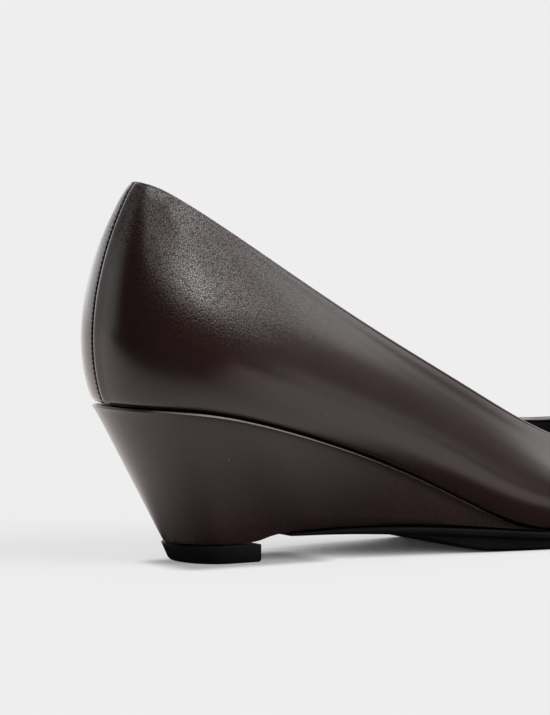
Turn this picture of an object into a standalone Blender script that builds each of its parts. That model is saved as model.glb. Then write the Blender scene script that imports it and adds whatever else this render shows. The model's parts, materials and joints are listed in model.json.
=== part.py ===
"""Wedge pump, right shoe: upper, insole, wedge, outsole and heel tip.

Toe along +X, outer side of the foot along -Y, floor at Z = 0. While the pieces are worked out X starts at the
back of the feather line, the edge where the upper meets the sole. At the end all are moved together, so that
the origin is the bottom centre of the whole shoe.
"""
from collections import namedtuple
from math import cos, pi, radians, sin, tan

import bpy
import numpy as np

MM = 0.001

# Driving dimensions
FOOT_LENGTH = 243 * MM          # feather line, heel to toe
BALL_WIDTH = 73.5 * MM          # feather line, across the ball
HEEL_WIDTH = 51.5 * MM          # feather line, across the heel seat
HEEL_HEIGHT = 42.3 * MM         # feather line at the back, above the floor
BACK_HEIGHT = 58.2 * MM         # back of the topline, above the feather line
VAMP_HEIGHT = 33 * MM           # throat of the topline, above the feather line
COLLAR_WIDTH = 55 * MM          # topline at its widest
UPPER_WALL = 1.8 * MM           # leather and lining together
TOE_SPRING = 6.5 * MM           # lift of the toe above the floor

INSOLE_THICKNESS = 2.5 * MM

WEDGE_END = 113.5 * MM          # front of the wedge, where it has feathered out
WEDGE_RAKE = radians(27.8)      # slant of the wedge's back from the vertical
WEDGE_LIP = 0.45 * MM           # how far the wedge's top edge stands proud
LIP_DROP = 0.7 * MM             # height of that edge's round
LIP_FOOT = 1.6 * MM             # where the edge has run out below it

TIP_THICKNESS = 4.7 * MM
TIP_LENGTH = 20.0 * MM
TIP_WIDTH = 24.6 * MM
TIP_PROUD = 0.5 * MM            # how far the tip stands out past the wedge
TIP_EDGE = 0.6 * MM             # round of the tip's lower edge

SOLE_EDGE = 2.2 * MM            # visible edge of the outsole under the forefoot
SOLE_PROUD = 0.6 * MM           # how far that edge stands out past the feather line
EDGE_ROUND = 0.5 * MM
TREAD_DEPTH = 2.5 * MM          # tread below the visible edge
TREAD_INSET = 1.1 * MM          # tread set in from the edge
TREAD_SKIN = 0.3 * MM           # tread left under the arch
TREAD_START = 80 * MM           # where the tread begins to come down
TREAD_DOWN = 104 * MM           # where it reaches the floor
ARCH_CLEARANCE = 6.8 * MM       # floor to outsole under the waist
BREAST_GAP = 8.8 * MM           # from the heel tip to the back end of the outsole

GAP = 0.3 * MM                  # between pieces that touch

RIBS = 104                      # ribs of the upper around the foot
RIB_STEPS = 13                  # faces along each rib

FORE_HEIGHT = TREAD_DEPTH + SOLE_EDGE + GAP
SEAT_RISE = HEEL_HEIGHT - FORE_HEIGHT
BACK_TOP = HEEL_HEIGHT + BACK_HEIGHT
THROAT_TOP = FORE_HEIGHT + VAMP_HEIGHT

# Feather line. Along is a share of the foot length. Outer and inner are half-widths as shares of the local
# width, which runs from the heel's to the ball's. Rise is the height as a share of the seat's rise.
Outline = namedtuple("Outline", "along outer inner rise")
OUTLINE = [
    Outline(0.000, 0.000, 0.000, 1.000),
    Outline(0.012, 0.222, 0.222, 0.995),
    Outline(0.041, 0.378, 0.378, 0.986),
    Outline(0.103, 0.478, 0.472, 0.931),
    Outline(0.165, 0.503, 0.488, 0.828),
    Outline(0.247, 0.498, 0.455, 0.660),
    Outline(0.329, 0.474, 0.396, 0.446),
    Outline(0.411, 0.458, 0.355, 0.184),
    Outline(0.453, 0.458, 0.352, 0.064),
    Outline(0.494, 0.462, 0.362, 0.006),
    Outline(0.576, 0.480, 0.408, 0.000),
    Outline(0.658, 0.497, 0.468, 0.000),
    Outline(0.720, 0.496, 0.503, 0.000),
    Outline(0.782, 0.463, 0.505, 0.000),
    Outline(0.844, 0.391, 0.471, 0.000),
    Outline(0.905, 0.297, 0.404, 0.000),
    Outline(0.955, 0.187, 0.305, 0.000),
    Outline(0.988, 0.072, 0.188, 0.000),
    Outline(1.000, -0.054, 0.054, 0.000),
]

# Topline, one row for each row of the outline from the same place on the feather line. Along is a share of the
# foot length, outer and inner are half-widths as shares of the collar's width, and the rises are shares of the
# way from the throat's height to the back's.
Topline = namedtuple("Topline", "foot along outer inner outer_rise inner_rise")
TOPLINE = [
    Topline(0.000, 0.0400, 0.000, 0.000, 1.000, 1.000),
    Topline(0.012, 0.0440, 0.075, 0.075, 0.993, 0.993),
    Topline(0.041, 0.0575, 0.148, 0.148, 0.967, 0.967),
    Topline(0.103, 0.0990, 0.254, 0.254, 0.856, 0.858),
    Topline(0.165, 0.1490, 0.318, 0.316, 0.721, 0.726),
    Topline(0.247, 0.2300, 0.378, 0.372, 0.507, 0.516),
    Topline(0.329, 0.3160, 0.424, 0.412, 0.296, 0.310),
    Topline(0.411, 0.4020, 0.457, 0.444, 0.100, 0.122),
    Topline(0.494, 0.4850, 0.482, 0.476, -0.080, -0.042),
    Topline(0.576, 0.5600, 0.503, 0.510, -0.178, -0.104),
    Topline(0.658, 0.6200, 0.496, 0.520, -0.186, -0.118),
    Topline(0.720, 0.6600, 0.440, 0.478, -0.154, -0.112),
    Topline(0.782, 0.6870, 0.346, 0.390, -0.104, -0.086),
    Topline(0.844, 0.7035, 0.240, 0.280, -0.056, -0.050),
    Topline(0.905, 0.7130, 0.146, 0.178, -0.024, -0.022),
    Topline(0.955, 0.7180, 0.076, 0.096, -0.007, -0.006),
    Topline(0.988, 0.7203, 0.026, 0.040, -0.001, -0.001),
    Topline(1.000, 0.7208, -0.006, 0.006, 0.000, 0.000),
]

# Curve of the wall from feather line to topline. Flare is the lean outwards at the foot and lean the lean
# inwards at the top, in degrees from the vertical. The pulls are handle lengths as shares of the straight way.
Wall = namedtuple("Wall", "foot flare foot_pull lean top_pull")
WALLS = [
    Wall(0.000, 21, 0.42, 33, 0.16),
    Wall(0.041, 22, 0.40, 33, 0.18),
    Wall(0.103, 20, 0.38, 24, 0.22),
    Wall(0.165, 20, 0.36, 20, 0.26),
    Wall(0.247, 23, 0.35, 14, 0.30),
    Wall(0.329, 27, 0.34, 10, 0.32),
    Wall(0.411, 30, 0.34, 9, 0.33),
    Wall(0.494, 26, 0.35, 14, 0.33),
    Wall(0.576, 20, 0.36, 26, 0.34),
    Wall(0.658, 16, 0.37, 40, 0.36),
    Wall(0.720, 14, 0.36, 50, 0.38),
    Wall(0.782, 13, 0.34, 59, 0.40),
    Wall(0.844, 12, 0.31, 66, 0.42),
    Wall(0.905, 11, 0.27, 70, 0.44),
    Wall(0.955, 10, 0.23, 72, 0.45),
    Wall(1.000, 9, 0.20, 73, 0.46),
]

# Underside. Spread is how far the wedge's foot has widened from the heel tip to the feather line. Lift is the
# height of the outsole's edge as a share of the arch clearance over the tread. Edge is its thickness as a share.
Underside = namedtuple("Underside", "along spread lift edge")
UNDERSIDE = [
    Underside(0.140, 0.00, 0.90, 0.20),
    Underside(0.172, 0.05, 0.94, 0.20),
    Underside(0.206, 0.24, 0.98, 0.28),
    Underside(0.251, 0.48, 1.00, 0.56),
    Underside(0.295, 0.68, 0.91, 0.77),
    Underside(0.342, 0.82, 0.76, 0.90),
    Underside(0.379, 0.90, 0.59, 0.94),
    Underside(0.411, 0.94, 0.44, 0.97),
    Underside(0.449, 0.98, 0.25, 1.00),
    Underside(0.475, 1.00, 0.12, 1.00),
    Underside(0.510, 1.00, 0.03, 1.00),
    Underside(0.560, 1.00, 0.00, 1.00),
    Underside(0.700, 1.00, 0.00, 1.00),
    Underside(1.000, 1.00, 0.00, 1.00),
]


# Curves through the tables
def spline(places, values, at):
    """Natural cubic spline through the values, read at the given places."""
    x = np.asarray(places, float)
    y = np.asarray(values, float)
    step = np.diff(x)
    slope = np.diff(y) / step
    matrix = np.eye(len(x))
    right = np.zeros(len(x))
    for i in range(1, len(x) - 1):
        matrix[i, i - 1] = step[i - 1]
        matrix[i, i] = 2 * (step[i - 1] + step[i])
        matrix[i, i + 1] = step[i]
        right[i] = 6 * (slope[i] - slope[i - 1])
    bend = np.linalg.solve(matrix, right)
    at = np.clip(np.asarray(at, float), x[0], x[-1])
    i = np.clip(np.searchsorted(x, at) - 1, 0, len(step) - 1)
    before = at - x[i]
    after = x[i + 1] - at
    cubic = (bend[i] * after ** 3 + bend[i + 1] * before ** 3) / (6 * step[i])
    start = (y[i] / step[i] - bend[i] * step[i] / 6) * after
    end = (y[i + 1] / step[i] - bend[i + 1] * step[i] / 6) * before
    return cubic + start + end


def angle_of(along):
    """Angle around the foot, 0 at the heel and pi at the toe, of a share of the length."""
    return np.arccos(1 - 2 * np.clip(along, 0, 1))


def along_of(angle):
    return (1 - np.cos(angle)) / 2


def around(rows, outer, inner, angle):
    """Closed curve through a table: its outer column from heel to toe, its inner column back again."""
    angles = [float(angle_of(row[0])) for row in rows]
    values = [getattr(row, outer) for row in rows]
    others = [getattr(row, inner) for row in rows]
    sign = -1 if outer == "outer" else 1
    loop_angles = angles + [2 * pi - a for a in angles[-2:0:-1]]
    loop_values = [sign * v for v in values] + others[-2:0:-1]
    places = [a + turn * 2 * pi for turn in (-1, 0, 1) for a in loop_angles]
    return spline(places, loop_values * 3, np.mod(angle, 2 * pi))


def smooth_step(share):
    share = np.clip(share, 0, 1)
    return share * share * (3 - 2 * share)


# Feather line
HEEL_PART = 0.20                # share of the length that has the heel's width
BALL_PART = 0.70                # share of the length from which it has the ball's width


def local_width(along):
    blend = smooth_step((along - HEEL_PART) / (BALL_PART - HEEL_PART))
    return HEEL_WIDTH + (BALL_WIDTH - HEEL_WIDTH) * blend


def feather_plan(angle):
    """Plan of the feather line at angles around the foot, as rows of x and y."""
    along = along_of(np.asarray(angle, float))
    y = local_width(along) * around(OUTLINE, "outer", "inner", angle)
    return np.stack([FOOT_LENGTH * along, y], axis=-1)


def plan_normals(angle):
    """Outward directions of the feather line in plan."""
    angle = np.asarray(angle, float)
    nudge = 0.01
    run = feather_plan(angle + nudge) - feather_plan(angle - nudge)
    outward = np.stack([run[:, 1], -run[:, 0]], axis=-1)
    return outward / np.linalg.norm(outward, axis=1)[:, None]


def toe_lift(along):
    spring_start = 0.82
    bend = 1.8
    return TOE_SPRING * np.clip((along - spring_start) / (1 - spring_start), 0, None) ** bend


def feather_height(x):
    along = np.clip(x / FOOT_LENGTH, 0, 1)
    rise = spline([row.along for row in OUTLINE], [row.rise for row in OUTLINE], along)
    return FORE_HEIGHT + SEAT_RISE * rise + toe_lift(along)


def with_height(plan, height):
    """Rows of x, y, z from a plan and one height or many."""
    return np.column_stack([plan, np.broadcast_to(height, len(plan))])


# Meshes
def make_object(name, vertices, faces, material):
    mesh = bpy.data.meshes.new(name)
    mesh.from_pydata([tuple(v) for v in vertices], [], faces)
    mesh.validate()
    mesh.materials.append(material)
    mesh.shade_smooth()
    mesh.set_sharp_from_angle(angle=radians(40))
    piece = bpy.data.objects.new(name, mesh)
    bpy.context.scene.collection.objects.link(piece)
    return piece


def wall_faces(loops, count):
    """Faces between closed loops listed from the top down, each with count points."""
    faces = []
    for start in range(0, (loops - 1) * count, count):
        for k in range(count):
            after = (k + 1) % count
            faces.append((start + k, start + count + k, start + count + after, start + after))
    return faces


def cap_faces(start, count, upwards):
    """Faces across a loop, from each point of its first half to the point facing it."""
    faces = []
    for k in range(count // 2 - 1):
        face = (start + k, start + k + 1, start + count - 2 - k, start + count - 1 - k)
        faces.append(face if upwards else face[::-1])
    return faces


def make_stack(name, loops, material):
    """Closed solid from loops listed from its top down, each running along the outer side and back inside."""
    count = len(loops[0])
    faces = wall_faces(len(loops), count)
    faces += cap_faces(0, count, True)
    faces += cap_faces((len(loops) - 1) * count, count, False)
    return make_object(name, np.concatenate(loops), faces, material)


def make_material(name, colour, roughness):
    material = bpy.data.materials.new(name)
    material.use_nodes = True
    shader = material.node_tree.nodes["Principled BSDF"]
    shader.inputs["Base Color"].default_value = (*colour, 1)
    shader.inputs["Roughness"].default_value = roughness
    shader.inputs["Metallic"].default_value = 0
    return material


# Angles at which the pieces have their points, the same in all of them
def ring_angles():
    step = 2 * pi / RIBS
    return (np.arange(RIBS) + 0.5) * step


# Upper
def make_upper(material):
    """Leather shell: a rib at each angle curves from the feather line to the topline."""
    angle = ring_angles()
    foot_plan = feather_plan(angle)
    foot = with_height(foot_plan, feather_height(foot_plan[:, 0]))
    top_along = around(TOPLINE, "along", "along", angle)
    top_side = COLLAR_WIDTH * around(TOPLINE, "outer", "inner", angle)
    top_rise = around(TOPLINE, "outer_rise", "inner_rise", angle)
    top_height = THROAT_TOP + (BACK_TOP - THROAT_TOP) * top_rise
    top = np.column_stack([FOOT_LENGTH * top_along, top_side, top_height])
    outward = with_height(plan_normals(angle), 0.0)
    up = np.array([0.0, 0.0, 1.0])
    reach = np.linalg.norm(top - foot, axis=1)[:, None]
    columns = {}
    for column in ("flare", "foot_pull", "lean", "top_pull"):
        columns[column] = around(WALLS, column, column, angle)[:, None]
    flare = np.radians(columns["flare"])
    lean = np.radians(columns["lean"])
    foot_handle = foot + columns["foot_pull"] * reach * (np.cos(flare) * up + np.sin(flare) * outward)
    top_handle = top + columns["top_pull"] * reach * (np.sin(lean) * outward - np.cos(lean) * up)
    loops = []
    for t in np.linspace(0, 1, RIB_STEPS + 1):
        s = 1 - t
        loops.append(s ** 3 * foot + 3 * s * s * t * foot_handle + 3 * s * t * t * top_handle + t ** 3 * top)
    piece = make_object("upper", np.concatenate(loops[::-1]), wall_faces(len(loops), RIBS), material)
    shell = piece.modifiers.new("wall", "SOLIDIFY")
    shell.thickness = UPPER_WALL
    shell.offset = -1
    shell.use_even_offset = True
    return piece


# Insole
def make_insole(material):
    angle = ring_angles()
    plan = feather_plan(angle) - (UPPER_WALL + GAP) * plan_normals(angle)
    bottom = feather_height(plan[:, 0])
    top = with_height(plan, bottom + INSOLE_THICKNESS)
    return make_stack("insole", [top, with_height(plan, bottom)], material)


# Wedge
TIP_TOP = TIP_THICKNESS + GAP
TIP_BACK = (HEEL_HEIGHT - TIP_TOP) * tan(WEDGE_RAKE)
TIP_FRONT = TIP_BACK + TIP_LENGTH
OUTSOLE_BACK = TIP_FRONT + BREAST_GAP


def edge_bottom(x):
    """Height of the lower side of the outsole's visible edge."""
    along = np.clip(x / FOOT_LENGTH, UNDERSIDE[0].along, 1)
    lift = spline([row.along for row in UNDERSIDE], [row.lift for row in UNDERSIDE], along)
    return TREAD_DEPTH + (ARCH_CLEARANCE - TREAD_DEPTH) * lift + toe_lift(along)


def edge_top(x):
    """Height of the outsole's top, under the wedge and then under the upper."""
    along = np.clip(x / FOOT_LENGTH, UNDERSIDE[0].along, 1)
    edge = spline([row.along for row in UNDERSIDE], [row.edge for row in UNDERSIDE], along)
    return np.minimum(edge_bottom(x) + SOLE_EDGE * edge, feather_height(x) - GAP)


def foot_side(x, outline_side):
    """Half-width of the wedge's foot: round behind, then spreading to the feather line."""
    round_length = 0.5 * TIP_LENGTH
    back = np.clip((TIP_BACK + round_length - x) / round_length, 0, 1)
    tip_side = TIP_WIDTH / 2 * np.sqrt(1 - back ** 2) * np.sign(outline_side)
    along = np.clip(x / FOOT_LENGTH, UNDERSIDE[0].along, 1)
    spread = spline([row.along for row in UNDERSIDE], [row.spread for row in UNDERSIDE], along)
    spread = np.clip(spread, 0, 1)
    return tip_side + (outline_side - tip_side) * spread


def mirrored(angle):
    """The angles along the outer side, then the same places back along the inner side."""
    return np.concatenate([angle, (2 * pi - angle)[::-1]])


def wedge_angles():
    """Angles of the wedge's points: the ring's, and those where its underside turns."""
    turns = np.array([TIP_FRONT, OUTSOLE_BACK - GAP, WEDGE_END])
    share = (turns - TIP_BACK) / (WEDGE_END - TIP_BACK)
    turn_angles = angle_of(share * WEDGE_END / FOOT_LENGTH)
    ring = ring_angles()
    clearance = 0.35 * (ring[1] - ring[0])
    apart = np.min(np.abs(ring[:, None] - turn_angles[None, :]), axis=1) > clearance
    ring = ring[apart & (ring < turn_angles[-1])]
    return mirrored(np.sort(np.concatenate([ring, turn_angles])))


def wedge_underside(x):
    """Height of the wedge's foot, and of the line that its walls run down to.

    The foot is flat over the heel tip, curves up at the breast and then lies on the outsole. The walls' line rises
    all the way from the back, so that no crease runs up the walls from the front of the tip.
    """
    share = np.clip((x - TIP_FRONT) / (OUTSOLE_BACK - GAP - TIP_FRONT), 0, 1)
    on_sole = edge_top(x) + GAP
    breast = TIP_TOP + (edge_top(OUTSOLE_BACK) + GAP - TIP_TOP) * (1 - (1 - share) ** 2)
    foot = np.where(share < 1, breast, on_sole)
    rise = smooth_step((x - TIP_BACK) / (OUTSOLE_BACK - TIP_BACK))
    return foot, TIP_TOP + (on_sole - TIP_TOP) * rise


def make_wedge(material):
    """Covered wedge: its top follows the feather line, its foot the heel tip and the outsole."""
    angle = wedge_angles()
    outward = with_height(plan_normals(angle), 0.0)
    plan = feather_plan(angle)
    top = with_height(plan, feather_height(plan[:, 0]) - GAP)
    foot_x = TIP_BACK + (WEDGE_END - TIP_BACK) * plan[:, 0] / WEDGE_END
    outline_side = np.sign(plan[:, 1]) * np.abs(side_at(foot_x, plan[:, 1] > 0))
    foot_height, wall_height = wedge_underside(foot_x)
    foot = np.column_stack([foot_x, foot_side(foot_x, outline_side), foot_height])
    wall_foot = np.column_stack([foot[:, :2], wall_height])
    height = np.linalg.norm(top - foot, axis=1)[:, None]
    lip = np.minimum(LIP_DROP / height, 0.3)
    below = np.minimum(LIP_FOOT / height, 0.6)
    loops = [top - 0.2 * LIP_DROP * outward]
    loops.append(top + (foot - top) * lip + WEDGE_LIP * outward)
    loops.append(top + (foot - top) * below)
    for share in (0.36, 0.7):
        loops.append(loops[2] + (wall_foot - loops[2]) * share)
    loops.append(foot)
    return make_stack("wedge", loops, material)


def side_at(x, inner):
    """Side of the feather line at given places along the foot, on the inner or the outer side."""
    angle = angle_of(x / FOOT_LENGTH)
    return feather_plan(np.where(inner, 2 * pi - angle, angle))[:, 1]


# Heel tip
def make_heel_tip(material):
    """Rubber top piece: straight in front, round behind, leaning on the wedge's line."""
    round_length = 0.5 * TIP_LENGTH + TIP_PROUD
    half_width = TIP_WIDTH / 2 + TIP_PROUD
    front = TIP_FRONT + TIP_PROUD
    lean = TIP_THICKNESS * tan(WEDGE_RAKE)
    turn = (np.arange(9) + 0.5) / 9 * pi / 2
    ahead = np.concatenate([round_length * (1 - np.cos(turn)), [0.72 * TIP_LENGTH, TIP_LENGTH + 2 * TIP_PROUD]])
    side = half_width * np.concatenate([np.sin(turn), [1, 1]])
    x = TIP_BACK - TIP_PROUD + np.concatenate([ahead, ahead[::-1]])
    y = np.concatenate([-side, side[::-1]])
    loops = []
    for height, inset in ((TIP_THICKNESS, 0), (TIP_EDGE, 0), (0, 0.6 * TIP_EDGE)):
        length = front - (TIP_BACK - TIP_PROUD)
        shift = lean * (1 - height / TIP_THICKNESS)
        middle = front - (length - shift) / 2
        shrink = (length - shift - 2 * inset) / length
        loop_x = middle + (x - (front - length / 2)) * shrink
        loop_y = y * (1 - inset / half_width)
        loops.append(np.column_stack([loop_x, loop_y, np.full(len(x), height)]))
    return make_stack("heel_tip", loops, material)


# Outsole
def make_outsole(material):
    """Rubber sole: a thin edge from the breast to the toe, and a tread set in under it."""
    ring = ring_angles()
    start = float(angle_of(OUTSOLE_BACK / FOOT_LENGTH))
    clearance = 0.35 * (ring[1] - ring[0])
    ring = ring[(ring > start + clearance) & (ring < pi)]
    angle = mirrored(np.concatenate([[start], ring]))
    outward = plan_normals(angle)
    feather = feather_plan(angle)
    spread_side = foot_side(feather[:, 0], feather[:, 1])
    under_wedge = feather[:, 0] < WEDGE_END
    plan = np.column_stack([feather[:, 0], np.where(under_wedge, spread_side, feather[:, 1])])
    x = plan[:, 0]
    top = edge_top(x)
    bottom = edge_bottom(x)
    down = smooth_step((x - TREAD_START) / (TREAD_DOWN - TREAD_START))
    lift = toe_lift(x / FOOT_LENGTH)
    tread = lift + (bottom - lift - TREAD_SKIN) * (1 - down)
    edge_round = np.minimum(EDGE_ROUND, 0.3 * (top - bottom))

    def loop(proud, height):
        return with_height(plan + proud * outward, height)

    loops = [
        loop(SOLE_PROUD - EDGE_ROUND, top),
        loop(SOLE_PROUD, top - edge_round),
        loop(SOLE_PROUD, bottom + edge_round),
        loop(SOLE_PROUD - EDGE_ROUND, bottom),
        loop(SOLE_PROUD - TREAD_INSET, bottom),
        loop(SOLE_PROUD - TREAD_INSET, tread),
    ]
    return make_stack("outsole", loops, material)


def centre_on_floor(pieces):
    """Move every piece so that the origin is the bottom centre of them all."""
    corners = []
    for piece in pieces:
        corners += [vertex.co for vertex in piece.data.vertices]
    corners = np.array(corners)
    low = corners.min(axis=0)
    high = corners.max(axis=0)
    shift = np.array([(low[0] + high[0]) / 2, (low[1] + high[1]) / 2, low[2]])
    for piece in pieces:
        for vertex in piece.data.vertices:
            vertex.co = np.array(vertex.co) - shift


def main():
    for old in list(bpy.data.objects):
        bpy.data.objects.remove(old)
    leather = make_material("upper_leather", (0.045, 0.030, 0.027), 0.38)
    sock = make_material("sock_leather", (0.012, 0.011, 0.011), 0.6)
    cover = make_material("wedge_leather", (0.040, 0.027, 0.024), 0.4)
    sole_rubber = make_material("sole_rubber", (0.015, 0.013, 0.012), 0.5)
    tip_rubber = make_material("tip_rubber", (0.008, 0.008, 0.008), 0.45)
    pieces = [
        make_upper(leather),
        make_insole(sock),
        make_wedge(cover),
        make_outsole(sole_rubber),
        make_heel_tip(tip_rubber),
    ]
    centre_on_floor(pieces)


main()
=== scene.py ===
"""Wedge pump: the looks of a right shoe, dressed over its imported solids.

Leather, lining, sock, wedge cover, rubber sole and tip are copies of the solids, made smooth and worked on
with the modelling tools. The seam up the back, its thread and all grain and wear are added here. Lengths are
in metres, toe along +X, the outer side of the foot along -Y, floor at Z = 0.
"""

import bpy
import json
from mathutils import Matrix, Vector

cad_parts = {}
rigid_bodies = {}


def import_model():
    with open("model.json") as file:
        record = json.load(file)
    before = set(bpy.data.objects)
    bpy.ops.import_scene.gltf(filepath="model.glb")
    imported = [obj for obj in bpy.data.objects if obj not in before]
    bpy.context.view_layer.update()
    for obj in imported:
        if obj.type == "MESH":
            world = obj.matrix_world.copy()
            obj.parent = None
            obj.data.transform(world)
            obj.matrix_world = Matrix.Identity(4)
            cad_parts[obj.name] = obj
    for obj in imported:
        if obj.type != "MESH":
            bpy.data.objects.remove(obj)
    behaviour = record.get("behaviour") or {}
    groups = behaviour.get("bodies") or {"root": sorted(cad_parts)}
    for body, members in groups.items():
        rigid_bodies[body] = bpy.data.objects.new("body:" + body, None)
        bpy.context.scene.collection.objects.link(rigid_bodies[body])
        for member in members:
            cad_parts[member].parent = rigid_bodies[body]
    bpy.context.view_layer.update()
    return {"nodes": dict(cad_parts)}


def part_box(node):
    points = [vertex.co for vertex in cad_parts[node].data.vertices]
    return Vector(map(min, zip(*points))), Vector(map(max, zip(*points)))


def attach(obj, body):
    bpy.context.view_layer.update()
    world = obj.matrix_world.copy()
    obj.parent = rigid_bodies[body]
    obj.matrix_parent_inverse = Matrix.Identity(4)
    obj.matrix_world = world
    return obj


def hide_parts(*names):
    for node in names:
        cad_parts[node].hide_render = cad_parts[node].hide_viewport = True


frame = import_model()

import json
from collections import namedtuple
from math import cos, pi, radians

import bmesh
import bpy
from bpy.props import FloatProperty, FloatVectorProperty, IntProperty, PointerProperty
from mathutils import Matrix, Vector
from mathutils.bvhtree import BVHTree
from mathutils.kdtree import KDTree

bl_info = {
    "name": "Wedge Pump",
    "version": (1, 0, 0),
    "blender": (4, 5, 0),
    "location": "View3D > Sidebar > Pump",
    "description": "Models the looks of a leather wedge pump over its solids",
    "category": "Object",
}

MM = 0.001
PIXELS = (550, 715)
OUTER, INNER, RIM = 0, 1, 2     # faces of the upper while it is made
SENSOR = 36.0
BODY = "root"

UPPER_LOW, UPPER_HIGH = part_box("upper")
WEDGE_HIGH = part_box("wedge")[1]
SEAM_SIDE = -0.43 * MM          # where the seam up the back lies across the shoe
SEAM_REACH = 6.0 * MM           # leather on each side of it that is looked at
BACK_END = UPPER_LOW.x + 30 * MM
BACK_NORMAL = -0.3              # leather whose normal's X is under this faces back
SUN_LEVEL = 3.36                # light of the suns on the floor
SUN_SHARE = 0.18                # share of the floor's brightness that their shadows take away
SUNS = (                        # name, share of the light, turn and spread in degrees
    ("overhead", 0.45, (0, 0, 0), 120),
    ("key", 0.55, (50, 0, 30), 45),
)
FLOOR_GLOSS = (1.0, 0.93, 0.91, 1)      # colour of the floor as gloss sees it

# Where the turn of the leather along the topline grows, forward of the back: from, to, and by how much.
LEAN_GROWS = (-114 * MM, -84 * MM)
LEAN_GROWTH = 2.0

# Where the grain of the leather is open: it eases off forward, towards the seam and down the sides.
GRAIN_EASES = (
    ("X", (-50 * MM, -100 * MM)),
    ("X", (-121 * MM, -116 * MM)),
    ("Z", (44 * MM, 66 * MM)),
)

# Profile across the back seam, from the near side: offset in halves of the groove's width, share of
# the lip's height, share of the groove's depth.
SEAM_PROFILE = (
    (-10.5, 0.0, 0.0),
    (-7.5, 0.4, 0.0),
    (-5.0, 0.85, 0.0),
    (-4.0, 1.0, 0.0),
    (-3.0, 0.9, 0.0),
    (-2.0, 0.6, 0.0),
    (-1.0, 0.1, 0.0),
    (-0.4, 0.0, 0.5),
    (0.0, 0.0, 1.0),
    (1.0, 0.0, 0.0),
)

# Boxes of light that gloss sees, in degrees round the shoe, with the camera at 0 and the right of its view
# positive: left and right side, low and high above the horizon, softness of the sides, and how much lower the
# box sits per degree to the right. Then its level.
SoftBox = namedtuple("SoftBox", "left right low high soft tilt level")
SOFT_BOXES = (
    SoftBox(-42, 34, 28, 47, 10, 0.2, 1.5),         # long box over the camera
    SoftBox(34, 80, 28, 62, 8, 0.04, 3.5),          # tall box beside it
    SoftBox(44, 67, 19, 36, 6, 0.0, 1.4),           # cards under it
    SoftBox(52, 94, 4, 24, 9, 0.0, 0.2),
    SoftBox(-5, 50, 34, 49, 10, 0.2, 1.7),          # brighter part of the long box
    SoftBox(14, 52, 35, 50, 10, 0.2, 3.0),          # its brightest part
    SoftBox(-70, 190, 47, 100, 14, 0.0, 1.5),       # ceiling
    SoftBox(-190, 190, 66, 100, 12, 0.0, 3.5),      # box overhead
    SoftBox(82, 130, 24, 60, 8, 0.0, 2.7),          # tall box at the side
    SoftBox(-190, -80, -90, 60, 10, 0.0, 0.75),     # pale walls
    SoftBox(-190, -128, -90, 60, 14, 0.0, 0.55),
    SoftBox(92, 190, -90, 60, 10, 0.0, 0.95),
    SoftBox(58, 92, -90, 8, 8, 0.0, 0.8),           # low card
)


# Sizes and colours that a user would change
class PumpSizes(bpy.types.PropertyGroup):
    smooth_levels: IntProperty(
        name="Smoothing", description="Subdivision levels of the leather and rubber", default=2, min=1,
        max=3)
    lining_thickness: FloatProperty(
        name="Lining", description="Thickness of the lining that shows inside", default=0.35 * MM,
        unit="LENGTH")
    topline_round: FloatProperty(
        name="Topline round", description="Round of both edges along the topline", default=0.5 * MM,
        unit="LENGTH")
    topline_turn: FloatProperty(
        name="Topline turn", description="Width of leather that turns in along the topline", default=3.8 * MM,
        unit="LENGTH")
    topline_lean: FloatProperty(
        name="Topline lean", description="How far the leather turns in there", default=0.3 * MM,
        unit="LENGTH")
    topline_lift: FloatProperty(
        name="Topline lift", description="How far the sides of the topline rise", default=0.35 * MM,
        unit="LENGTH")
    feather_length: FloatProperty(
        name="Wedge feather", description="How far the wedge's thin front end is drawn out", default=6.0 * MM,
        unit="LENGTH")
    feather_drop: FloatProperty(
        name="Feather drop", description="How far that end drops on the way", default=0.55 * MM,
        unit="LENGTH")
    seam_width: FloatProperty(
        name="Seam width", description="Width of the groove up the back", default=0.8 * MM, unit="LENGTH")
    seam_depth: FloatProperty(
        name="Seam depth", description="Depth of the groove up the back", default=0.4 * MM, unit="LENGTH")
    seam_lip: FloatProperty(
        name="Seam lip", description="How far the leather swells beside the back seam", default=0.3 * MM,
        unit="LENGTH")
    stitch_pitch: FloatProperty(
        name="Stitch pitch", description="From one stitch of the back seam to the next", default=1.3 * MM,
        unit="LENGTH")
    stitch_length: FloatProperty(
        name="Stitch length", description="Length of one stitch of the back seam", default=0.85 * MM,
        unit="LENGTH")
    thread_width: FloatProperty(
        name="Thread", description="Thickness of the back seam's thread", default=0.26 * MM, unit="LENGTH")


class PumpColours(bpy.types.PropertyGroup):
    leather: FloatVectorProperty(
        name="Leather", description="Colour of the upper and the wedge", subtype="COLOR", size=3,
        default=(0.0172, 0.0085, 0.0077), min=0, max=1)
    # Painted shade: the darker colour that the creases of the grain are mixed towards.
    leather_crease_shade: FloatVectorProperty(
        name="Leather, deep", description="Colour where the leather's dye is deepest", subtype="COLOR",
        size=3, default=(0.0110, 0.0050, 0.0046), min=0, max=1)
    lining: FloatVectorProperty(
        name="Lining", description="Colour of the lining and the sock", subtype="COLOR", size=3,
        default=(0.0150, 0.0138, 0.0145), min=0, max=1)
    rubber: FloatVectorProperty(
        name="Rubber", description="Colour of the sole and the heel tip", subtype="COLOR", size=3,
        default=(0.0032, 0.0031, 0.0030), min=0, max=1)
    thread: FloatVectorProperty(
        name="Thread", description="Colour of the back seam's thread", subtype="COLOR", size=3,
        default=(0.0045, 0.0035, 0.0032), min=0, max=1)


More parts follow.
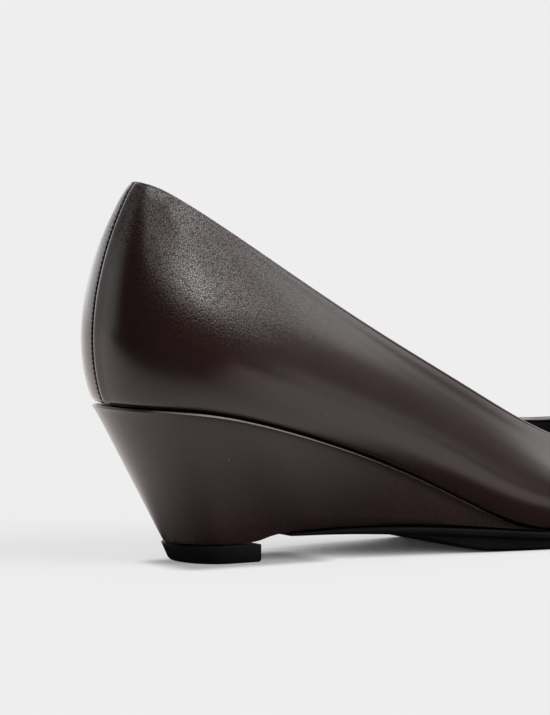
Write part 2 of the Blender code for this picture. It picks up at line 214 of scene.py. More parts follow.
class PumpStudio(bpy.types.PropertyGroup):
    backdrop: FloatProperty(
        name="Backdrop", description="Brightness of the pale floor and backdrop", default=0.855, min=0, max=1)
    camera_place: FloatVectorProperty(
        name="Camera", description="Where the camera stands", subtype="TRANSLATION", size=3, unit="LENGTH",
        default=(-0.68142, -1.06212, 0.14131))
    camera_turn: FloatProperty(
        name="Camera turn", description="How far the camera looks towards the toe", subtype="ANGLE",
        default=radians(30))
    camera_dip: FloatProperty(
        name="Camera dip", description="How far the camera looks down", subtype="ANGLE",
        default=radians(4.14))
    camera_roll: FloatProperty(
        name="Camera roll", description="How far the camera leans", subtype="ANGLE",
        default=radians(-0.227))
    focal_pixels: FloatProperty(
        name="Focal length", description="Focal length in pixels of the photograph", default=4632, min=100)


# Helpers for meshes
def pick(*pieces):
    """Select only these pieces, with the first one active."""
    if bpy.context.object and bpy.context.object.mode != "OBJECT":
        bpy.ops.object.mode_set(mode="OBJECT")
    bpy.ops.object.select_all(action="DESELECT")
    for piece in pieces:
        piece.select_set(True)
    bpy.context.view_layer.objects.active = pieces[0]


def edit(piece, action="DESELECT", kind="VERT"):
    """Open a piece in edit mode with everything or nothing selected."""
    pick(piece)
    bpy.ops.object.mode_set(mode="EDIT")
    bpy.ops.mesh.select_mode(type=kind)
    bpy.ops.mesh.select_all(action=action)
    return bmesh.from_edit_mesh(piece.data)


def close_edit(piece):
    """Write a mesh back and leave edit mode."""
    bmesh.update_edit_mesh(piece.data)
    bpy.ops.object.mode_set(mode="OBJECT")


def settle_order(mesh):
    """Order edges and faces by their vertices alone. An extrusion leaves them in a new order each run."""
    mesh.verts.index_update()
    count = len(mesh.verts)

    def place_in_line(part):
        first, second, third = (sorted(vertex.index for vertex in part.verts) + [0])[:3]
        return (first * count + second) * count + third

    mesh.edges.sort(key=place_in_line)
    mesh.faces.sort(key=place_in_line)


def copy_of(node, name):
    """A node's solid as a new piece, with its loose triangles joined into clean four-sided faces."""
    piece = bpy.data.objects.new(name, frame["nodes"][node].data.copy())
    piece.data.materials.clear()
    bpy.context.scene.collection.objects.link(piece)
    pick(piece)
    if piece.data.has_custom_normals:
        bpy.ops.mesh.customdata_custom_splitnormals_clear()
    edit(piece, "SELECT")
    bpy.ops.mesh.remove_doubles(threshold=0.002 * MM)
    bpy.ops.mesh.tris_convert_to_quads(face_threshold=radians(40), shape_threshold=radians(80))
    bpy.ops.mesh.select_all(action="SELECT")
    bpy.ops.mesh.mark_sharp(clear=True)
    bpy.ops.object.mode_set(mode="OBJECT")
    return piece


def apply_modifier(piece, kind, **settings):
    """Add a modifier with these settings and apply it."""
    pick(piece)
    modifier = piece.modifiers.new(kind.lower(), kind)
    for key, value in settings.items():
        setattr(modifier, key, value)
    bpy.ops.object.modifier_apply(modifier=modifier.name)


def subdivide(piece, levels):
    """Smooth a piece with a subdivision surface."""
    apply_modifier(piece, "SUBSURF", levels=levels, render_levels=levels)


def hold_edges(piece, angle, crease):
    """Keep the edges that are sharper than an angle crisp under subdivision."""
    edit(piece, "DESELECT", "EDGE")
    bpy.ops.mesh.edges_select_sharp(sharpness=angle)
    bpy.ops.transform.edge_crease(value=crease)
    bpy.ops.object.mode_set(mode="OBJECT")


def finish_piece(piece, material, slot, *nodes):
    """Shade a piece, give it its material and tie it to the shoe."""
    pick(piece)
    bpy.ops.object.shade_smooth_by_angle(angle=radians(45))
    piece.data.materials.clear()
    piece.data.materials.append(material)
    piece.data.polygons.foreach_set("material_index", [0] * len(piece.data.polygons))
    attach(piece, BODY)
    if nodes:
        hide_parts(*nodes)
    pick(piece)
    return piece


def face_islands(mesh, angle):
    """Groups of faces that join across edges flatter than an angle, largest area first."""
    left = set(mesh.faces)
    islands = []
    while left:
        first = left.pop()
        island = [first]
        stack = [first]
        while stack:
            face = stack.pop()
            for edge in face.edges:
                if len(edge.link_faces) != 2 or edge.calc_face_angle() > angle:
                    continue
                for other in edge.link_faces:
                    if other in left:
                        left.remove(other)
                        island.append(other)
                        stack.append(other)
        islands.append(island)
    islands.sort(key=lambda faces: -sum(face.calc_area() for face in faces))
    return islands


# Shader node groups
def new_group(name, inputs, outputs):
    """Shader node group with float inputs, given with their defaults, and float outputs."""
    group = bpy.data.node_groups.new(name, "ShaderNodeTree")
    for label, default in inputs:
        socket = group.interface.new_socket(label, in_out="INPUT", socket_type="NodeSocketFloat")
        socket.default_value = default
    for label in outputs:
        group.interface.new_socket(label, in_out="OUTPUT", socket_type="NodeSocketFloat")
    return group, group.nodes.new("NodeGroupInput"), group.nodes.new("NodeGroupOutput")


def math_node(tree, operation, first, second=None, third=None, clamp=False):
    """Math node whose inputs are sockets or numbers. Returns its output."""
    node = tree.nodes.new("ShaderNodeMath")
    node.operation = operation
    node.use_clamp = clamp
    for socket, value in zip(node.inputs, (first, second, third)):
        if value is None:
            continue
        if isinstance(value, bpy.types.NodeSocket):
            tree.links.new(value, socket)
        else:
            socket.default_value = value
    return node.outputs[0]


def ramp(tree, value, low, high, out_low=0.0, out_high=1.0):
    """Smooth step of a value from one level to another. Returns its output."""
    node = tree.nodes.new("ShaderNodeMapRange")
    node.interpolation_type = "SMOOTHSTEP"
    tree.links.new(value, node.inputs["Value"])
    for label, level in (("From Min", low), ("From Max", high), ("To Min", out_low), ("To Max", out_high)):
        if isinstance(level, bpy.types.NodeSocket):
            tree.links.new(level, node.inputs[label])
        else:
            node.inputs[label].default_value = level
    return node.outputs["Result"]


def object_place(tree):
    """Place on the surface, in the object's own coordinates."""
    return tree.nodes.new("ShaderNodeTexCoord").outputs["Object"]


def split_vector(tree, vector):
    """Node that gives a vector's X, Y and Z."""
    node = tree.nodes.new("ShaderNodeSeparateXYZ")
    tree.links.new(vector, node.inputs[0])
    return node


def split_turned(tree, vector, angle):
    """Node that gives the X, Y and Z of a vector turned about the upright axis."""
    node = tree.nodes.new("ShaderNodeVectorRotate")
    node.rotation_type = "Z_AXIS"
    node.inputs["Angle"].default_value = angle
    tree.links.new(vector, node.inputs["Vector"])
    return split_vector(tree, node.outputs["Vector"])


def distance_beyond(tree, first, second):
    """Distance from a rectangle, from how far a place lies beyond it along each of its sides."""
    parts = [math_node(tree, "MAXIMUM", part, 0.0) for part in (first, second)]
    squares = [math_node(tree, "POWER", part, 2.0) for part in parts]
    return math_node(tree, "SQRT", math_node(tree, "ADD", *squares))


def noise(tree, place, scale, detail=2.0, roughness=0.5):
    """Noise texture. Returns its value."""
    node = tree.nodes.new("ShaderNodeTexNoise")
    node.inputs["Detail"].default_value = detail
    node.inputs["Roughness"].default_value = roughness
    tree.links.new(place, node.inputs["Vector"])
    if isinstance(scale, bpy.types.NodeSocket):
        tree.links.new(scale, node.inputs["Scale"])
    else:
        node.inputs["Scale"].default_value = scale
    return node.outputs["Fac"]


def voronoi(tree, place, scale, feature="F1"):
    """Cell texture. Returns its distance."""
    node = tree.nodes.new("ShaderNodeTexVoronoi")
    node.feature = feature
    tree.links.new(place, node.inputs["Vector"])
    if isinstance(scale, bpy.types.NodeSocket):
        tree.links.new(scale, node.inputs["Scale"])
    else:
        node.inputs["Scale"].default_value = scale
    return node.outputs["Distance"]


def make_grain_group():
    """Leather's pebble grain: plump cells with fine creases between them, and a broad mottle."""
    group, given, put = new_group(
        "leather grain", [("Pebbles", 1750.0), ("Depth", 1.0)], ["Height", "Creases", "Mottle"])
    place = object_place(group)
    wander = group.nodes.new("ShaderNodeTexNoise")
    wander.inputs["Scale"].default_value = 900
    group.links.new(place, wander.inputs["Vector"])
    bend = group.nodes.new("ShaderNodeVectorMath")
    bend.operation = "MULTIPLY_ADD"
    bend.inputs[1].default_value = (0.12 * MM, 0.12 * MM, 0.12 * MM)
    group.links.new(wander.outputs["Color"], bend.inputs[0])
    group.links.new(place, bend.inputs[2])
    bent = bend.outputs["Vector"]
    cells = voronoi(group, bent, given.outputs["Pebbles"], "SMOOTH_F1")
    edges = voronoi(group, bent, given.outputs["Pebbles"], "DISTANCE_TO_EDGE")
    creases = ramp(group, edges, 0.0, 0.30, 1.0, 0.0)
    dome = math_node(group, "SUBTRACT", 0.8, cells)
    height = math_node(group, "SUBTRACT", dome, math_node(group, "MULTIPLY", creases, 0.12))
    height = math_node(group, "MULTIPLY", height, given.outputs["Depth"])
    mottle = noise(group, place, 95, 4.0, 0.6)
    group.links.new(height, put.inputs["Height"])
    group.links.new(creases, put.inputs["Creases"])
    group.links.new(mottle, put.inputs["Mottle"])
    return group


def make_wear_group():
    """Handling marks: a soft haze of polish, and sparse specks of dust."""
    group, given, put = new_group("handling", [("Amount", 1.0)], ["Haze", "Specks"])
    place = object_place(group)
    haze = ramp(group, noise(group, place, 38, 3.0, 0.6), 0.35, 0.75)
    spots = voronoi(group, place, 420, "F1")
    few = ramp(group, noise(group, place, 160, 1.0), 0.66, 0.72)
    specks = math_node(group, "MULTIPLY", ramp(group, spots, 0.06, 0.16, 1.0, 0.0), few)
    specks = math_node(group, "MULTIPLY", specks, given.outputs["Amount"])
    haze = math_node(group, "MULTIPLY", haze, given.outputs["Amount"])
    group.links.new(haze, put.inputs["Haze"])
    group.links.new(specks, put.inputs["Specks"])
    return group


def use_group(tree, group, **values):
    """Place a node group with its own values."""
    node = tree.nodes.new("ShaderNodeGroup")
    node.node_tree = group
    for label, value in values.items():
        node.inputs[label].default_value = value
    return node


def new_material(name):
    """A material, its node tree and its shader."""
    material = bpy.data.materials.new(name)
    material.use_nodes = True
    tree = material.node_tree
    return material, tree, tree.nodes["Principled BSDF"]


def mix_colours(tree, factor, first, second):
    """Colour mixed by a factor from two colours, each a socket or a triple."""
    node = tree.nodes.new("ShaderNodeMix")
    node.data_type = "RGBA"
    if isinstance(factor, bpy.types.NodeSocket):
        tree.links.new(factor, node.inputs["Factor"])
    else:
        node.inputs["Factor"].default_value = factor
    for socket, colour in ((node.inputs[6], first), (node.inputs[7], second)):
        if isinstance(colour, bpy.types.NodeSocket):
            tree.links.new(colour, socket)
        else:
            socket.default_value = (*colour, 1)
    return node.outputs[2]


def bump(tree, shader, height, strength, distance):
    """Raise the surface by a height, in shading only."""
    node = tree.nodes.new("ShaderNodeBump")
    node.inputs["Strength"].default_value = strength
    node.inputs["Distance"].default_value = distance
    tree.links.new(height, node.inputs["Height"])
    tree.links.new(node.outputs["Normal"], shader.inputs["Normal"])


def lighter(colour, factor):
    """A colour times a factor."""
    return tuple(min(1.0, channel * factor) for channel in colour)


def group_named(name, maker):
    """A node group by its name, made at its first use."""
    return bpy.data.node_groups.get(name) or maker()


def leather_material(name, depth, roughness, specks):
    """Dyed calf with a polished coat on the tops of its grain, and painted shade that darkens the creases."""
    colours = bpy.context.scene.pump_colours
    material, tree, shader = new_material(name)
    grain = use_group(tree, group_named("leather grain", make_grain_group))
    split = split_vector(tree, object_place(tree))
    open_grain = depth
    for axis, edges in GRAIN_EASES:
        open_grain = math_node(tree, "MULTIPLY", ramp(tree, split.outputs[axis], *edges), open_grain)
    tree.links.new(math_node(tree, "MULTIPLY_ADD", open_grain, 0.8, 0.2), grain.inputs["Depth"])
    wear = use_group(tree, group_named("handling", make_wear_group), Amount=specks)
    body = mix_colours(tree, ramp(tree, grain.outputs["Mottle"], 0.3, 0.7),
                       tuple(colours.leather), lighter(colours.leather, 1.25))
    # Painted shade: the creases are darkened towards the crease colour.
    body = mix_colours(tree, math_node(tree, "MULTIPLY", grain.outputs["Creases"], 0.6),
                       body, tuple(colours.leather_crease_shade))
    dust = (0.30, 0.28, 0.26)
    body = mix_colours(tree, math_node(tree, "MULTIPLY", wear.outputs["Specks"], 0.35), body, dust)
    tree.links.new(body, shader.inputs["Base Color"])
    gloss = math_node(tree, "MULTIPLY_ADD", wear.outputs["Haze"], 0.03, roughness)
    gloss = math_node(tree, "ADD", gloss, math_node(tree, "MULTIPLY", grain.outputs["Creases"], 0.05))
    tree.links.new(gloss, shader.inputs["Roughness"])
    shader.inputs["Specular IOR Level"].default_value = 0.14
    shader.inputs["Coat Roughness"].default_value = roughness
    worn = math_node(tree, "MULTIPLY_ADD", open_grain, 0.9, 0.1)
    worn = math_node(tree, "MULTIPLY", grain.outputs["Creases"], worn)
    tree.links.new(math_node(tree, "SUBTRACT", 1.0, worn), shader.inputs["Coat Weight"])
    bump(tree, shader, grain.outputs["Height"], 1.0, 0.065 * MM)
    return material


def lining_material(name, roughness):
    """Black lining leather: fine grain, dull."""
    colours = bpy.context.scene.pump_colours
    material, tree, shader = new_material(name)
    grain = use_group(tree, group_named("leather grain", make_grain_group), Pebbles=1500.0, Depth=0.8)
    wear = use_group(tree, group_named("handling", make_wear_group), Amount=1.0)
    body = mix_colours(tree, ramp(tree, grain.outputs["Mottle"], 0.3, 0.7),
                       tuple(colours.lining), lighter(colours.lining, 1.8))
    tree.links.new(body, shader.inputs["Base Color"])
    gloss = math_node(tree, "MULTIPLY_ADD", wear.outputs["Haze"], 0.10, roughness)
    tree.links.new(gloss, shader.inputs["Roughness"])
    bump(tree, shader, grain.outputs["Height"], 0.4, 0.05 * MM)
    return material


def rubber_material(name, roughness, tread):
    """Moulded rubber: fine texture and a slight bloom, with ribs under the tread where asked."""
    colours = bpy.context.scene.pump_colours
    material, tree, shader = new_material(name)
    place = object_place(tree)
    wear = use_group(tree, group_named("handling", make_wear_group), Amount=1.0)
    bloom = ramp(tree, noise(tree, place, 60, 4.0, 0.65), 0.35, 0.75)
    body = mix_colours(tree, bloom, tuple(colours.rubber), lighter(colours.rubber, 1.7))
    tree.links.new(body, shader.inputs["Base Color"])
    gloss = math_node(tree, "MULTIPLY_ADD", wear.outputs["Haze"], 0.12, roughness)
    tree.links.new(gloss, shader.inputs["Roughness"])
    shader.inputs["Specular IOR Level"].default_value = 0.05
    height = noise(tree, place, 6000, 2.0)
    if tread:
        rib_pitch = 3.2 * MM
        split = split_vector(tree, place)
        facing = tree.nodes.new("ShaderNodeNewGeometry")
        down = split_vector(tree, facing.outputs["True Normal"])
        under = ramp(tree, down.outputs["Z"], -0.95, -0.85, 1.0, 0.0)
        wave = math_node(tree, "SINE", math_node(tree, "MULTIPLY", split.outputs["Y"], 260))
        along = math_node(tree, "MULTIPLY", split.outputs["X"], 2 * pi / rib_pitch)
        bent = math_node(tree, "MULTIPLY_ADD", wave, 1.4, along)
        ribs = ramp(tree, math_node(tree, "SINE", bent), -0.3, 0.3)
        ribs = math_node(tree, "MULTIPLY", ribs, math_node(tree, "MULTIPLY", under, 12.0))
        height = math_node(tree, "ADD", height, ribs)
    bump(tree, shader, height, 0.5, 0.05 * MM)
    return material


def thread_material(name):
    """Twisted waxed thread."""
    colours = bpy.context.scene.pump_colours
    material, tree, shader = new_material(name)
    place = object_place(tree)
    twist = noise(tree, place, 9000, 1.0)
    body = mix_colours(tree, twist, tuple(colours.thread), lighter(colours.thread, 2.5))
    tree.links.new(body, shader.inputs["Base Color"])
    tree.links.new(ramp(tree, twist, 0.3, 0.7, 0.5, 0.65), shader.inputs["Roughness"])
    bump(tree, shader, twist, 0.5, 0.04 * MM)
    return material


# Pieces
class PUMP_OT_upper(bpy.types.Operator):
    """Leather shell and its lining, with the groove of the seam up the back"""
    bl_idname = "pump.upper"
    bl_label = "Upper and lining"

    def execute(self, context):
        sizes = context.scene.pump_sizes
        upper = copy_of("upper", "upper_leather")
        for kind in (OUTER, INNER, RIM):
            upper.data.materials.append(None)
        mesh = edit(upper, "DESELECT", "FACE")
        walls = face_islands(mesh, radians(50))
        inner = max(walls[:2], key=lambda faces: min(face.calc_center_median().x for face in faces))
        rims = sorted(walls[2:], key=lambda faces: max(face.calc_center_median().z for face in faces))
        for face in inner:
            face.material_index = INNER
        for face in rims[-1]:
            face.material_index = RIM
        close_edit(upper)
        self.roll_topline(upper, sizes)
        subdivide(upper, sizes.smooth_levels)
        self.line(upper, sizes)
        self.lean_topline(upper, sizes)
        self.groove(upper, sizes)
        leather = leather_material("upper leather", 1.0, 0.17, 0.4)
        finish_piece(upper, leather, "upper_leather", "upper")
        return {"FINISHED"}

    def roll_topline(self, upper, sizes):
        """Round both edges along the topline."""
        mesh = edit(upper, "DESELECT", "EDGE")
        for edge in mesh.edges:
            kinds = {face.material_index for face in edge.link_faces}
            edge.select = RIM in kinds and len(kinds) == 2
        bmesh.update_edit_mesh(upper.data)
        bpy.ops.mesh.bevel(offset=sizes.topline_round, segments=2, material=RIM)
        bpy.ops.object.mode_set(mode="OBJECT")

    def lean_topline(self, upper, sizes):
        """Pull the leather in a little along the topline, where it turns over the edge."""
        mesh = edit(upper, "DESELECT", "VERT")
        edge_line = []
        for vertex in mesh.verts:
            faces = [face for face in vertex.link_faces if face.material_index == OUTER]
            if faces and any(face.material_index == RIM for face in vertex.link_faces):
                outward = sum((face.normal for face in faces), Vector()).normalized()
                edge_line.append((vertex.co.copy(), outward))
        tree = KDTree(len(edge_line))
        for i, (place, outward) in enumerate(edge_line):
            tree.insert(place, i)
        tree.balance()
        for vertex in mesh.verts:
            if any(face.material_index == INNER for face in vertex.link_faces):
                continue
            place, i, distance = tree.find(vertex.co)
            forward = min(max((vertex.co.x - LEAN_GROWS[0]) / (LEAN_GROWS[1] - LEAN_GROWS[0]), 0.0), 1.0)
            grown = 1 + LEAN_GROWTH * forward
            share = 1 - distance / (sizes.topline_turn * grown)
            if share > 0:
                vertex.co -= edge_line[i][1] * sizes.topline_lean * grown * share ** 2
                vertex.co.z += sizes.topline_lift * forward * share ** 2
        close_edit(upper)

    def line(self, upper, sizes):
        """Part the inner faces off as a copy, and thicken it into a lining just clear of the leather."""
        mesh = edit(upper, "DESELECT", "FACE")
        for face in mesh.faces:
            face.select = face.material_index == INNER
        bmesh.update_edit_mesh(upper.data)
        bpy.ops.mesh.select_less()
        bpy.ops.mesh.duplicate()
        bpy.ops.mesh.separate(type="SELECTED")
        bpy.ops.object.mode_set(mode="OBJECT")
        lining = [piece for piece in bpy.context.selected_objects if piece is not upper][0]
        lining.name = "lining"
        edit(lining, "SELECT")
        clear = 0.05 * MM
        bpy.ops.transform.shrink_fatten(value=sizes.lining_thickness + clear)
        bpy.ops.object.mode_set(mode="OBJECT")
        apply_modifier(lining, "SOLIDIFY", thickness=sizes.lining_thickness, offset=-1)
        finish_piece(lining, lining_material("lining leather", 0.55), "sock_leather")

    def groove(self, upper, sizes):
        """Press a narrow groove up the middle of the back, and swell the leather on its near side."""
        half = sizes.seam_width / 2
        for offset, _, _ in SEAM_PROFILE:
            mesh = edit(upper, "DESELECT", "FACE")
            for face in mesh.faces:
                middle = face.calc_center_median()
                at_back = middle.x < BACK_END and abs(middle.y - SEAM_SIDE) < SEAM_REACH
                face.select = at_back and face.material_index == OUTER
            bmesh.update_edit_mesh(upper.data)
            bpy.ops.mesh.bisect(plane_co=(0, SEAM_SIDE + offset * half, 0), plane_no=(0, 1, 0))
            bpy.ops.object.mode_set(mode="OBJECT")
        mesh = edit(upper, "DESELECT", "VERT")
        mesh.normal_update()
        for vertex in mesh.verts:
            at_back = vertex.co.x < BACK_END and vertex.normal.x < BACK_NORMAL
            if at_back and any(face.material_index == OUTER for face in vertex.link_faces):
                rise = self.seam_rise((vertex.co.y - SEAM_SIDE) / half, sizes)
                vertex.co += vertex.normal * rise
        close_edit(upper)

    def seam_rise(self, offset, sizes):
        """Height of the seam's profile at an offset given in halves of the groove's width."""
        for (low, lip, depth), (high, next_lip, next_depth) in zip(SEAM_PROFILE, SEAM_PROFILE[1:]):
            if low <= offset <= high:
                share = (offset - low) / (high - low)
                here = lip * sizes.seam_lip - depth * sizes.seam_depth
                there = next_lip * sizes.seam_lip - next_depth * sizes.seam_depth
                return here + (there - here) * share
        return 0.0


class PUMP_OT_back_thread(bpy.types.Operator):
    """Row of small stitches beside the groove up the back"""
    bl_idname = "pump.back_thread"
    bl_label = "Back seam thread"

    def execute(self, context):
        sizes = context.scene.pump_sizes
        upper = bpy.data.objects["upper_leather"]
        skin = BVHTree.FromObject(upper, context.evaluated_depsgraph_get())
        side = SEAM_SIDE + 0.75 * sizes.seam_width
        low = WEDGE_HIGH.z + 2.0 * MM
        high = UPPER_HIGH.z - 1.6 * MM
        count = int((high - low) / sizes.stitch_pitch)
        stitch = self.one_stitch(sizes)
        copies = []
        for i in range(count):
            place = self.back_at(skin, side, low + (high - low) * i / count)
            above = self.back_at(skin, side, low + (high - low) * i / count + 0.5 * MM)
            along = (above - place).normalized()
            turn = along.to_track_quat("Z", "X").to_matrix().to_4x4()
            copy = stitch.copy()
            copy.data = stitch.data.copy()
            copy.data.transform(Matrix.Translation(place) @ turn)
            bpy.context.scene.collection.objects.link(copy)
            copies.append(copy)
        bpy.data.objects.remove(stitch)
        pick(*copies)
        bpy.ops.object.join()
        thread = context.object
        thread.name = "back_seam_thread"
        finish_piece(thread, thread_material("back seam thread"), "upper_leather")
        return {"FINISHED"}

    def back_at(self, skin, side, height):
        """Point of the upper's back at a height."""
        start = Vector((UPPER_LOW.x - 20 * MM, side, height))
        hit = skin.ray_cast(start, Vector((1, 0, 0)))[0]
        if hit is None:
            raise RuntimeError("no leather behind a stitch")
        return hit

    def one_stitch(self, sizes):
        """A stitch along Z: a short round of thread whose ends dive into the leather."""
        radius = sizes.thread_width / 2
        bpy.ops.object.select_all(action="DESELECT")
        bpy.ops.mesh.primitive_cylinder_add(vertices=8, radius=radius, depth=sizes.stitch_length)
        stitch = bpy.context.object
        mesh = edit(stitch, "SELECT", "FACE")
        for face in mesh.faces:
            face.select = abs(face.normal.z) > 0.9
        bmesh.update_edit_mesh(stitch.data)
        bpy.ops.mesh.inset(thickness=0.5 * radius, depth=0.5 * radius)
        bpy.ops.object.mode_set(mode="OBJECT")
        return stitch


class PUMP_OT_sock(bpy.types.Operator):
    """Black sock over the insole"""
    bl_idname = "pump.sock"
    bl_label = "Sock"

    def execute(self, context):
        sock = copy_of("insole", "sock")
        hold_edges(sock, radians(50), 0.6)
        subdivide(sock, context.scene.pump_sizes.smooth_levels)
        finish_piece(sock, lining_material("sock leather", 0.5), "sock_leather", "insole")
        return {"FINISHED"}


class PUMP_OT_wedge(bpy.types.Operator):
    """Leather-covered wedge with its proud upper edge"""
    bl_idname = "pump.wedge"
    bl_label = "Wedge"

    def execute(self, context):
        wedge = copy_of("wedge", "wedge_cover")
        self.feather_front(wedge, context.scene.pump_sizes)
        hold_edges(wedge, radians(42), 0.75)
        subdivide(wedge, context.scene.pump_sizes.smooth_levels)
        leather = leather_material("wedge leather", 0.4, 0.26, 1.0)
        finish_piece(wedge, leather, "wedge_leather", "wedge")
        return {"FINISHED"}

    def feather_front(self, wedge, sizes):
        """Draw the thin front end out further, down between the upper and the sole."""
        mesh = edit(wedge, "DESELECT", "FACE")
        for face in mesh.faces:
            face.select = face.normal.x > 0.8 and face.calc_center_median().x > WEDGE_HIGH.x - 1.0 * MM
        bmesh.update_edit_mesh(wedge.data)
        bpy.ops.mesh.extrude_region_move(
            TRANSFORM_OT_translate={"value": (sizes.feather_length, 0, -sizes.feather_drop)})
        bpy.ops.transform.resize(value=(1, 1.03, 0.4))
        settle_order(bmesh.from_edit_mesh(wedge.data))
        close_edit(wedge)


class PUMP_OT_rubber(bpy.types.Operator):
    """Outsole with its thin edge and set-in tread, and the heel tip"""
    bl_idname = "pump.rubber"
    bl_label = "Rubber sole and tip"

    def execute(self, context):
        levels = context.scene.pump_sizes.smooth_levels
        sole = copy_of("outsole", "outsole_rubber")
        hold_edges(sole, radians(30), 0.8)
        subdivide(sole, levels)
        finish_piece(sole, rubber_material("sole rubber", 0.55, True), "sole_rubber", "outsole")
        tip = copy_of("heel_tip", "heel_tip_rubber")
        apply_modifier(tip, "BEVEL", width=0.45 * MM, segments=3, limit_method="ANGLE",
                       angle_limit=radians(35))
        finish_piece(tip, rubber_material("tip rubber", 0.42, False), "tip_rubber", "heel_tip")
        return {"FINISHED"}


# Studio
class PUMP_OT_stage(bpy.types.Operator):
    """Pale floor, studio light and the camera"""
    bl_idname = "pump.stage"
    bl_label = "Studio"

    def execute(self, context):
        studio = context.scene.pump_studio
        self.floor(studio)
        self.lights(studio)
        self.world(studio)
        self.camera(studio)
        context.scene.view_settings.view_transform = "Standard"
        return {"FINISHED"}

    def floor(self, studio):
        """Pale floor, part lit by the suns and part glowing, with a soft shade close to the shoe."""
        bpy.ops.object.select_all(action="DESELECT")
        bpy.ops.mesh.primitive_plane_add(size=60, location=(0, 0, 0))
        floor = bpy.context.object
        floor.name = "floor"
        material, tree, shader = new_material("pale floor")
        grey = SUN_SHARE * studio.backdrop * pi / SUN_LEVEL
        shader.inputs["Base Color"].default_value = (grey, grey, grey, 1)
        shader.inputs["Roughness"].default_value = 1.0
        shader.inputs["Specular IOR Level"].default_value = 0.0
        split = split_vector(tree, object_place(tree))
        bright = math_node(tree, "MULTIPLY", self.close_shade(tree, split), self.tip_shade(tree, split))
        path = tree.nodes.new("ShaderNodeLightPath")
        for_camera = math_node(tree, "MULTIPLY", path.outputs["Is Camera Ray"],
                               math_node(tree, "SUBTRACT", bright, 1.0))
        glow = tree.nodes.new("ShaderNodeEmission")
        glow_level = (1 - SUN_SHARE) * studio.backdrop
        strength = math_node(tree, "MULTIPLY", math_node(tree, "ADD", for_camera, 1.0), glow_level)
        tree.links.new(strength, glow.inputs["Strength"])
        lit = tree.nodes.new("ShaderNodeAddShader")
        tree.links.new(shader.outputs[0], lit.inputs[0])
        tree.links.new(glow.outputs[0], lit.inputs[1])
        gloss = tree.nodes.new("ShaderNodeEmission")
        gloss.inputs["Color"].default_value = FLOOR_GLOSS
        tree.links.new(self.gloss_level(tree, split, studio), gloss.inputs["Strength"])
        both = tree.nodes.new("ShaderNodeMixShader")
        tree.links.new(path.outputs["Is Glossy Ray"], both.inputs[0])
        tree.links.new(lit.outputs[0], both.inputs[1])
        tree.links.new(gloss.outputs[0], both.inputs[2])
        tree.links.new(both.outputs[0], tree.nodes["Material Output"].inputs["Surface"])
        floor.data.materials.append(material)

    def gloss_level(self, tree, split, studio):
        """Brightness of the floor in gloss: darker close to the shoe and far out on the photo's near side."""
        dark_width = ramp(tree, split.outputs["X"], -75 * MM, -15 * MM, 14 * MM, 54 * MM)
        beyond = [math_node(tree, "SUBTRACT", math_node(tree, "ABSOLUTE", split.outputs[axis]), reach)
                  for axis, reach in (("X", 90 * MM), ("Y", dark_width))]
        near = ramp(tree, distance_beyond(tree, *beyond), 6 * MM, 50 * MM)
        seen = split_turned(tree, object_place(tree), studio.camera_turn)
        right = math_node(tree, "MAXIMUM", seen.outputs["X"], 0.0)
        forward = math_node(tree, "MULTIPLY", seen.outputs["Y"], -1.0)
        far = ramp(tree, math_node(tree, "SUBTRACT", forward, right), 50 * MM, 290 * MM, 1.0, 0.0)
        return math_node(tree, "MULTIPLY", near, far)

    def close_shade(self, tree, split):
        """Shade of the floor by how open it is to the sky, mostly lifted again on the outer side."""
        least_open = 0.008
        open_span = 0.552
        open_sky = tree.nodes.new("ShaderNodeAmbientOcclusion")
        open_sky.inputs["Distance"].default_value = 80 * MM
        bright = math_node(tree, "SUBTRACT", open_sky.outputs["AO"], least_open)
        bright = math_node(tree, "DIVIDE", bright, open_span, clamp=True)
        power = ramp(tree, split.outputs["X"], -75 * MM, -35 * MM, 0.2, 0.55)
        bright = math_node(tree, "POWER", bright, power)
        half_width = ramp(tree, split.outputs["X"], -70 * MM, 10 * MM, 14 * MM, 34 * MM)
        before = math_node(tree, "ADD", split.outputs["Y"], half_width)
        before = ramp(tree, math_node(tree, "MULTIPLY", before, -1.0), 0.0, 8 * MM, 0.0, 0.8)
        return math_node(tree, "MULTIPLY_ADD", before, math_node(tree, "SUBTRACT", 1.0, bright), bright)

    def tip_shade(self, tree, split):
        """Close shade on the floor round the heel's tip, on the outer side and ahead of it."""
        low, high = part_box("heel_tip")
        ahead = math_node(tree, "SUBTRACT", split.outputs["X"], high[0] + 12 * MM)
        behind = math_node(tree, "SUBTRACT", low[0], split.outputs["X"])
        outside = math_node(tree, "SUBTRACT", low[1] - 2 * MM, split.outputs["Y"])
        clear = distance_beyond(tree, math_node(tree, "MAXIMUM", ahead, behind),
                                math_node(tree, "MAXIMUM", outside, split.outputs["Y"]))
        return ramp(tree, clear, 0.0, 10 * MM, 0.42, 1.0)

    def lights(self, studio):
        """Two suns, whose light is even all over the floor, so that it matches the backdrop."""
        for name, share, turn, spread in SUNS:
            bpy.ops.object.select_all(action="DESELECT")
            angles = tuple(radians(angle) for angle in turn)
            bpy.ops.object.light_add(type="SUN", location=(0, 0, 1), rotation=angles)
            lamp = bpy.context.object
            lamp.name = name
            lamp.data.angle = radians(spread)
            lamp.data.energy = SUN_LEVEL * share / cos(angles[0])
            lamp.visible_glossy = False

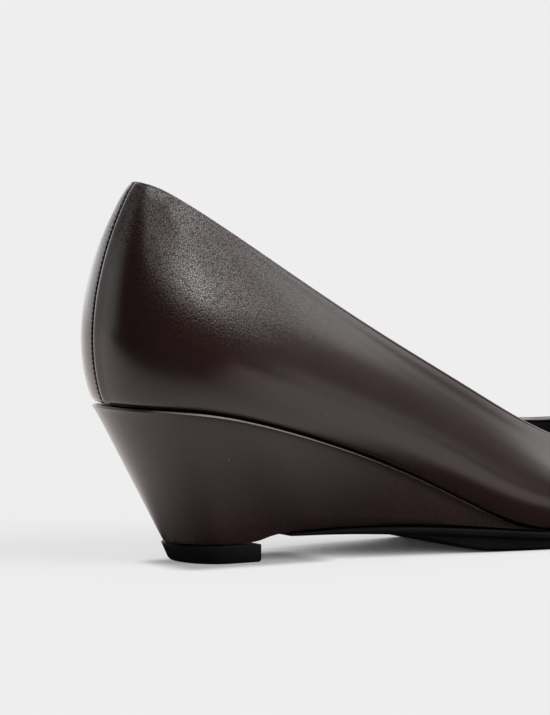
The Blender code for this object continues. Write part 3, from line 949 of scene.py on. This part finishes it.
    def world(self, studio):
        """Even backdrop for the camera. Gloss sees soft boxes in a half dark room instead."""
        world = bpy.data.worlds.new("studio")
        bpy.context.scene.world = world
        world.use_nodes = True
        world.cycles_visibility.diffuse = False
        tree = world.node_tree
        direction = tree.nodes.new("ShaderNodeTexCoord").outputs["Generated"]
        split = split_turned(tree, direction, studio.camera_turn)
        forward = math_node(tree, "MULTIPLY", split.outputs["Y"], -1.0)
        across = math_node(tree, "ARCTAN2", split.outputs["X"], forward)
        across = math_node(tree, "MULTIPLY", across, 180 / pi)
        above = math_node(tree, "MULTIPLY", math_node(tree, "ARCSINE", split.outputs["Z"]), 180 / pi)
        total = 0.0
        for box in SOFT_BOXES:
            total = math_node(tree, "ADD", self.soft_box(tree, across, above, box), total)
        path = tree.nodes.new("ShaderNodeLightPath")
        seen = tree.nodes.new("ShaderNodeMix")
        tree.links.new(path.outputs["Is Camera Ray"], seen.inputs["Factor"])
        tree.links.new(total, seen.inputs["A"])
        seen.inputs["B"].default_value = studio.backdrop
        tree.links.new(seen.outputs["Result"], tree.nodes["Background"].inputs["Strength"])
        tree.nodes["Background"].inputs["Color"].default_value = (1, 1, 1, 1)

    def soft_box(self, tree, across, above, box):
        """Soft-edged box of light between two angles across and two above the horizon."""
        lift = math_node(tree, "MULTIPLY_ADD", across, box.tilt, above)
        low_edge = box.soft / 3
        top_edge = box.soft / 2
        part = ramp(tree, across, box.left - box.soft, box.left + box.soft)
        edges = (
            ramp(tree, across, box.right - box.soft, box.right + box.soft, 1, 0),
            ramp(tree, lift, box.low - low_edge, box.low + low_edge),
            ramp(tree, lift, box.high - top_edge, box.high + top_edge, 1, 0),
            box.level,
        )
        for edge in edges:
            part = math_node(tree, "MULTIPLY", part, edge)
        return part

    def camera(self, studio):
        """Camera at the photo's view."""
        data = bpy.data.cameras.new("camera")
        camera = bpy.data.objects.new("camera", data)
        bpy.context.scene.collection.objects.link(camera)
        camera.location = studio.camera_place
        turn = Matrix.Rotation(-studio.camera_turn, 4, "Z")
        dip = Matrix.Rotation(pi / 2 - studio.camera_dip, 4, "X")
        roll = Matrix.Rotation(studio.camera_roll, 4, "Z")
        camera.rotation_euler = (turn @ dip @ roll).to_euler()
        data.sensor_width = SENSOR
        data.lens = studio.focal_pixels / max(PIXELS) * SENSOR
        data.clip_end = 100
        bpy.context.scene.camera = camera


class PUMP_PT_panel(bpy.types.Panel):
    """Sizes, colours and pieces of the pump"""
    bl_idname = "PUMP_PT_panel"
    bl_label = "Wedge Pump"
    bl_space_type = "VIEW_3D"
    bl_region_type = "UI"
    bl_category = "Pump"

    def draw(self, context):
        for group in (context.scene.pump_sizes, context.scene.pump_colours, context.scene.pump_studio):
            for name in group.bl_rna.properties.keys():
                if name not in ("rna_type", "name"):
                    self.layout.prop(group, name)
        for operator in OPERATORS:
            self.layout.operator(operator.bl_idname)


GROUPS = (PumpSizes, PumpColours, PumpStudio)
OPERATORS = (
    PUMP_OT_upper,
    PUMP_OT_back_thread,
    PUMP_OT_sock,
    PUMP_OT_wedge,
    PUMP_OT_rubber,
    PUMP_OT_stage,
)


def register():
    for item in GROUPS + OPERATORS + (PUMP_PT_panel,):
        bpy.utils.register_class(item)
    bpy.types.Scene.pump_sizes = PointerProperty(type=PumpSizes)
    bpy.types.Scene.pump_colours = PointerProperty(type=PumpColours)
    bpy.types.Scene.pump_studio = PointerProperty(type=PumpStudio)


def unregister():
    del bpy.types.Scene.pump_studio
    del bpy.types.Scene.pump_colours
    del bpy.types.Scene.pump_sizes
    for item in reversed(GROUPS + OPERATORS + (PUMP_PT_panel,)):
        bpy.utils.unregister_class(item)


def main():
    register()
    bpy.ops.pump.upper()
    bpy.ops.pump.back_thread()
    bpy.ops.pump.sock()
    bpy.ops.pump.wedge()
    bpy.ops.pump.rubber()
    bpy.ops.pump.stage()


if __name__ == "__main__":
    main()
